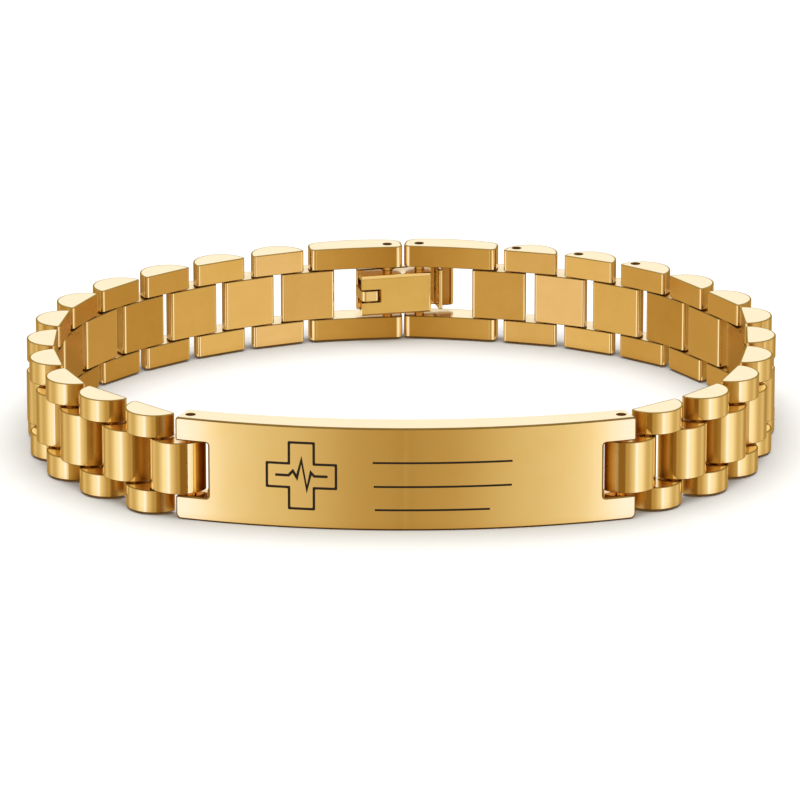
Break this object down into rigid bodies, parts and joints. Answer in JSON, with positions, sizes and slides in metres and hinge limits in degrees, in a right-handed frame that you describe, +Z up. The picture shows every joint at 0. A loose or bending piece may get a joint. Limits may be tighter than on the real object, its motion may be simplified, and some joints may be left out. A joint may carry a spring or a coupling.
{
  "type": "medical alert bracelet",
  "caption": "Closed loop of gold-toned steel links lying on its side: a curved identity plate, a flexible three-row band on upright pins and a fold-over hook clasp.",
  "frame": {"origin": "centre of the loop's own box at its lower edge, which is the surface it lies on", "axes": "+Z up, along the pins and across the band's width; -Y towards the identity plate at the front; +Y towards the clasp at the back; +X to the right seen from the plate's outer face"},
  "size_m": [0.0728, 0.0647, 0.01],
  "materials": {
    "plate": "mirror-polished gold-toned stainless steel",
    "links": "gold-toned stainless steel, crowns polished, flat inner faces satin",
    "clasp": "gold-toned stainless steel sheet, polished edges"
  },
  "bodies": {
    "band": {"id_plate": "plate", "centre_link_left_1": "links", "centre_link_left_2": "links", "centre_link_left_3": "links", "centre_link_left_4": "links", "centre_link_left_5": "links", "centre_link_left_6": "links", "centre_link_left_7": "links", "centre_link_left_8": "links", "centre_link_left_9": "links", "centre_link_left_10": "links", "centre_link_left_11": "links", "centre_link_left_12": "links", "centre_link_right_1": "links", "centre_link_right_2": "links", "centre_link_right_3": "links", "centre_link_right_4": "links", "centre_link_right_5": "links", "centre_link_right_6": "links", "centre_link_right_7": "links", "centre_link_right_8": "links", "centre_link_right_9": "links", "centre_link_right_10": "links", "centre_link_right_11": "links", "centre_link_right_12": "links", "outer_pair_left_1": "links", "outer_pair_left_2": "links", "outer_pair_left_3": "links", "outer_pair_left_4": "links", "outer_pair_left_5": "links", "outer_pair_left_6": "links", "outer_pair_left_7": "links", "outer_pair_left_8": "links", "outer_pair_left_9": "links", "outer_pair_left_10": "links", "outer_pair_left_11": "links", "outer_pair_right_1": "links", "outer_pair_right_2": "links", "outer_pair_right_3": "links", "outer_pair_right_4": "links", "outer_pair_right_5": "links", "outer_pair_right_6": "links", "outer_pair_right_7": "links", "outer_pair_right_8": "links", "outer_pair_right_9": "links", "outer_pair_right_10": "links", "outer_pair_right_11": "links", "clasp_pair_left": "links", "clasp_pair_right": "links"},
    "clasp_base": {"clasp_base": "clasp"},
    "clasp_lever": {"clasp_lever": "clasp"}
  },
  "joints": [
    {"name": "clasp_lever_hinge", "type": "hinge", "parent": "band", "child": "clasp_lever", "pos_m": [0.00177, 0.03, 0.005], "axis": [0, 0, -1], "range_deg": [0, 50]},
    {"name": "clasp_base_hinge", "type": "hinge", "parent": "band", "child": "clasp_base", "pos_m": [0.00177, 0.03, 0.005], "axis": [0, 0, 1], "range_deg": [0, 20]}
  ]
}
